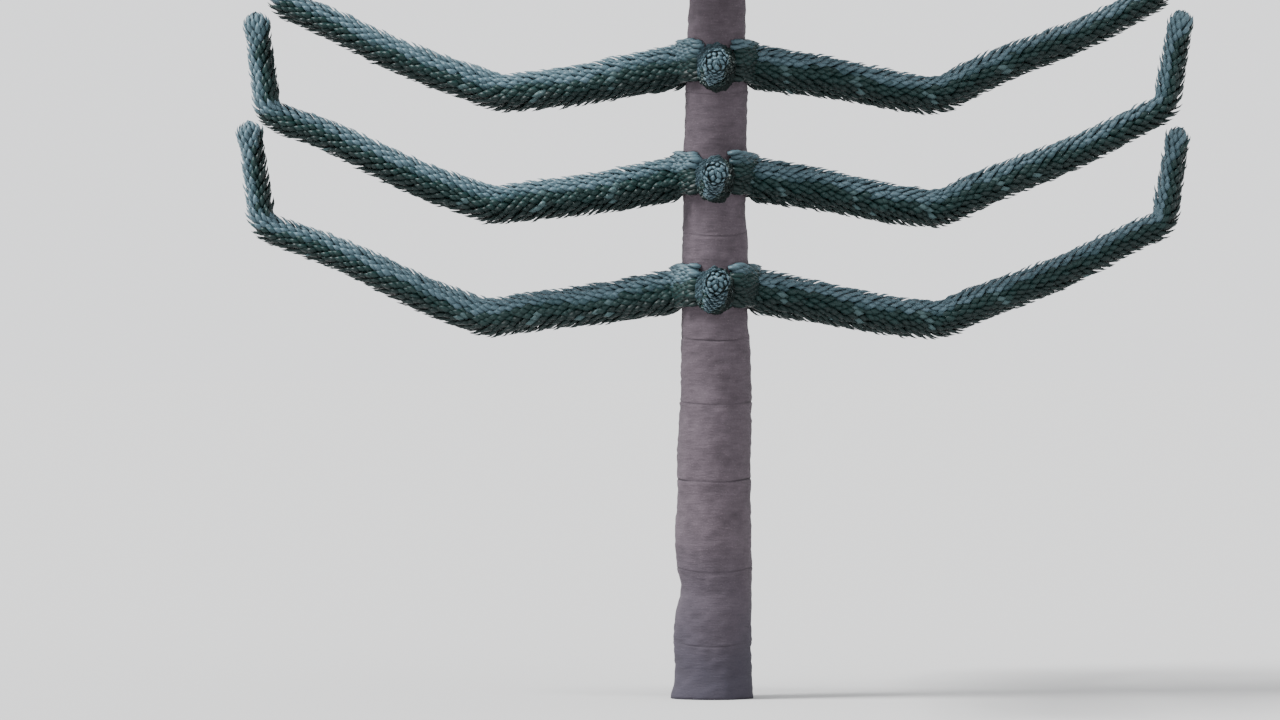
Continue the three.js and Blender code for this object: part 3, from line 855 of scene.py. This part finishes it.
# A leaf is thick and leathery under a thin coat of wax, so it shines a little along its keel. Its tints are
# painted light and shade: pale and blue where a leaf faces the sky, half lit below that, and dark green in
# painted shade on the sides and underneath.
def leaf_material(name, colour):
    material, shader = new_material(name, colour, roughness=0.5)
    shader.inputs["IOR"].default_value = 1.45
    shader.inputs["Specular IOR Level"].default_value = 0.3
    shader.inputs["Coat Weight"].default_value = 0.04
    shader.inputs["Coat Roughness"].default_value = 0.35
    return material


# The painted tints, from the painted highlight to the painted shade below, then the painted glints and pale
# marks.
leaf_finishes = [
    leaf_material("leaf_painted_sky_light", "#475D66"),
    leaf_material("leaf_painted_half_light", "#2D444A"),
    leaf_material("leaf_painted_side_shade", "#102A29"),
    leaf_material("leaf_painted_shade_below", "#0B1F1E"),
    leaf_material("leaf_painted_glint_and_pale_mark", "#394E50"),
]

for tier, limbs in enumerate(low_limbs):
    sets = [limb_leaves(limb, LEAF_FIELD) for limb in limbs]
    sets.append(collar_leaves(tier, limbs, SIDE_LIMBS, LEAF_FIELD))
    tier_leaves = leaf_piece(f"tier_{tier + 1}_leaves", sets, KEELED_LEAF, tier)
    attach(tier_leaves, "root")
    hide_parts(*nodes_named(f"tail_{tier + 1}"))


# The four tiers above them have five limbs each, and every tier is turned from the one below by rather
# more than half the angle between two limbs, so that each limb grows into a gap.
LIMBS_A_TIER = 5
# Where the first limb of the first tier grows, and how far each tier is turned from the last, in degrees.
TIER_START = 14
TIER_TURN = 43
ARM_STEM_RINGS = 44
ARM_LEAF_FIELD = 0.00034


def five_limbs(tier):
    start = TIER_START + TIER_TURN * (tier - LOW_TIERS)
    return [limb_of(tier, index, start + 360 / LIMBS_A_TIER * index) for index in range(LIMBS_A_TIER)]


arm_tiers = range(LOW_TIERS, FIRST_WHORL)
arm_limbs = sum([five_limbs(tier) for tier in arm_tiers], [])
arm_stems = stem_mesh("arm_stems", arm_limbs, ARM_STEM_RINGS, stem_wood)
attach(arm_stems, "root")
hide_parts(*nodes_named("arm"))
for tier in arm_tiers:
    limbs = five_limbs(tier)
    sets = [limb_leaves(limb, ARM_LEAF_FIELD) for limb in limbs]
    sets.append(collar_leaves(tier, limbs, range(LIMBS_A_TIER), ARM_LEAF_FIELD))
    arm_leaves = leaf_piece(f"tier_{tier + 1}_leaves", sets, PLAIN_LEAF, tier)
    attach(arm_leaves, "root")
    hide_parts(*nodes_named(f"arm_{tier + 1}"))


# The whorls of the upper crown: five shorter and steeper limbs each, on a trunk that is young enough to
# keep its own leaves.
WHORL_STEM_RINGS = 26
WHORL_LEAF_FIELD = 0.00036
LOWER_WHORL_TIERS = 4
LOWER_WHORLS = range(FIRST_WHORL, FIRST_WHORL + LOWER_WHORL_TIERS)
UPPER_WHORLS = range(FIRST_WHORL + LOWER_WHORL_TIERS, FIRST_WHORL + WHORL_TIERS)

for part, tiers in {"lower": LOWER_WHORLS, "upper": UPPER_WHORLS}.items():
    limbs = sum([five_limbs(tier) for tier in tiers], [])
    whorl_nodes = [f"whorl_{tier + 1}" for tier in tiers]
    whorl_stems = stem_mesh(f"{part}_whorl_stems", limbs, WHORL_STEM_RINGS, stem_wood)
    sets = [limb_leaves(limb, WHORL_LEAF_FIELD) for limb in limbs]
    whorl_leaves = leaf_piece(f"{part}_whorl_leaves", sets, PLAIN_LEAF, tiers[0])
    for piece, slot in {whorl_stems: "boughs", whorl_leaves: "leaves"}.items():
        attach(piece, "root")
        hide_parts(*whorl_nodes)


# The leader: the leafy shoot on the trunk's tip, with the youngest whorl round it. The trunk below it is
# clad in leaves of its own down to the lowest of the whorls.
LEADER_RADIUS = 0.046
LEADER_TIP_RADIUS = 0.03
LEADER_FOOT_TAPER = 0.26
LEADER_OVERRUN = 0.018
LEADER_SEED = 9
TRUNK_LEAF_SEED = 8
leader_shoot = SimpleNamespace(
    start=trunk_axis(TRUNK_TOP),
    azimuth=0,
    length=TREE_HEIGHT - TRUNK_TOP - LEADER_OVERRUN,
    inner=math.pi / 2,
    outer=math.pi / 2,
    tip=math.pi / 2,
    sway=0,
    base_radius=LEADER_RADIUS,
    tip_radius=LEADER_TIP_RADIUS,
    root_swell=-LEADER_FOOT_TAPER,
    bud_swell=BUD_SWELL,
    wave=0,
    fresh_highlight_length=FRESH_HIGHLIGHT_LENGTH,
    closing=BLUNT_CLOSING,
    mark_start=0,
    seed=LEADER_SEED,
)


def trunk_leaves(low, high, leaf_field):
    """The leaves that the upper trunk still keeps. They lean up it."""
    random = np.random.default_rng(TRUNK_LEAF_SEED)
    marks = np.linspace(low, high, SPACING_STEPS)
    z = evenly_spaced(marks, 2 * math.pi * trunk_radius(marks), leaf_field)
    count = len(z)
    out, _ = round_trunk(GOLDEN_TURN * np.arange(count) + random.normal(0, TURN_JITTER, count))
    return standing_leaves(
        trunk_axis(z) + out * (trunk_radius(z) - LEAF_SUNK)[:, None],
        np.tile([0.0, 0.0, 1.0], (count, 1)),
        out,
        LEAF_SPREAD + random.normal(0, SPREAD_JITTER, count),
        TIP_LEAF_LENGTH * varied(random, count),
        0,
    )


young_limbs = five_limbs(FIRST_WHORL + WHORL_TIERS)
leader_stems = stem_mesh("leader_stems", [leader_shoot, *young_limbs], WHORL_STEM_RINGS, stem_wood)
sets = [limb_leaves(limb, WHORL_LEAF_FIELD) for limb in [leader_shoot, *young_limbs]]
sets.append(trunk_leaves(BARE_TRUNK_TOP, TRUNK_TOP, WHORL_LEAF_FIELD))
leader_leaves = leaf_piece("leader_leaves", sets, PLAIN_LEAF, FIRST_WHORL + WHORL_TIERS)
for piece, slot in {leader_stems: "boughs", leader_leaves: "leaves"}.items():
    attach(piece, "root")
    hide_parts("leader")
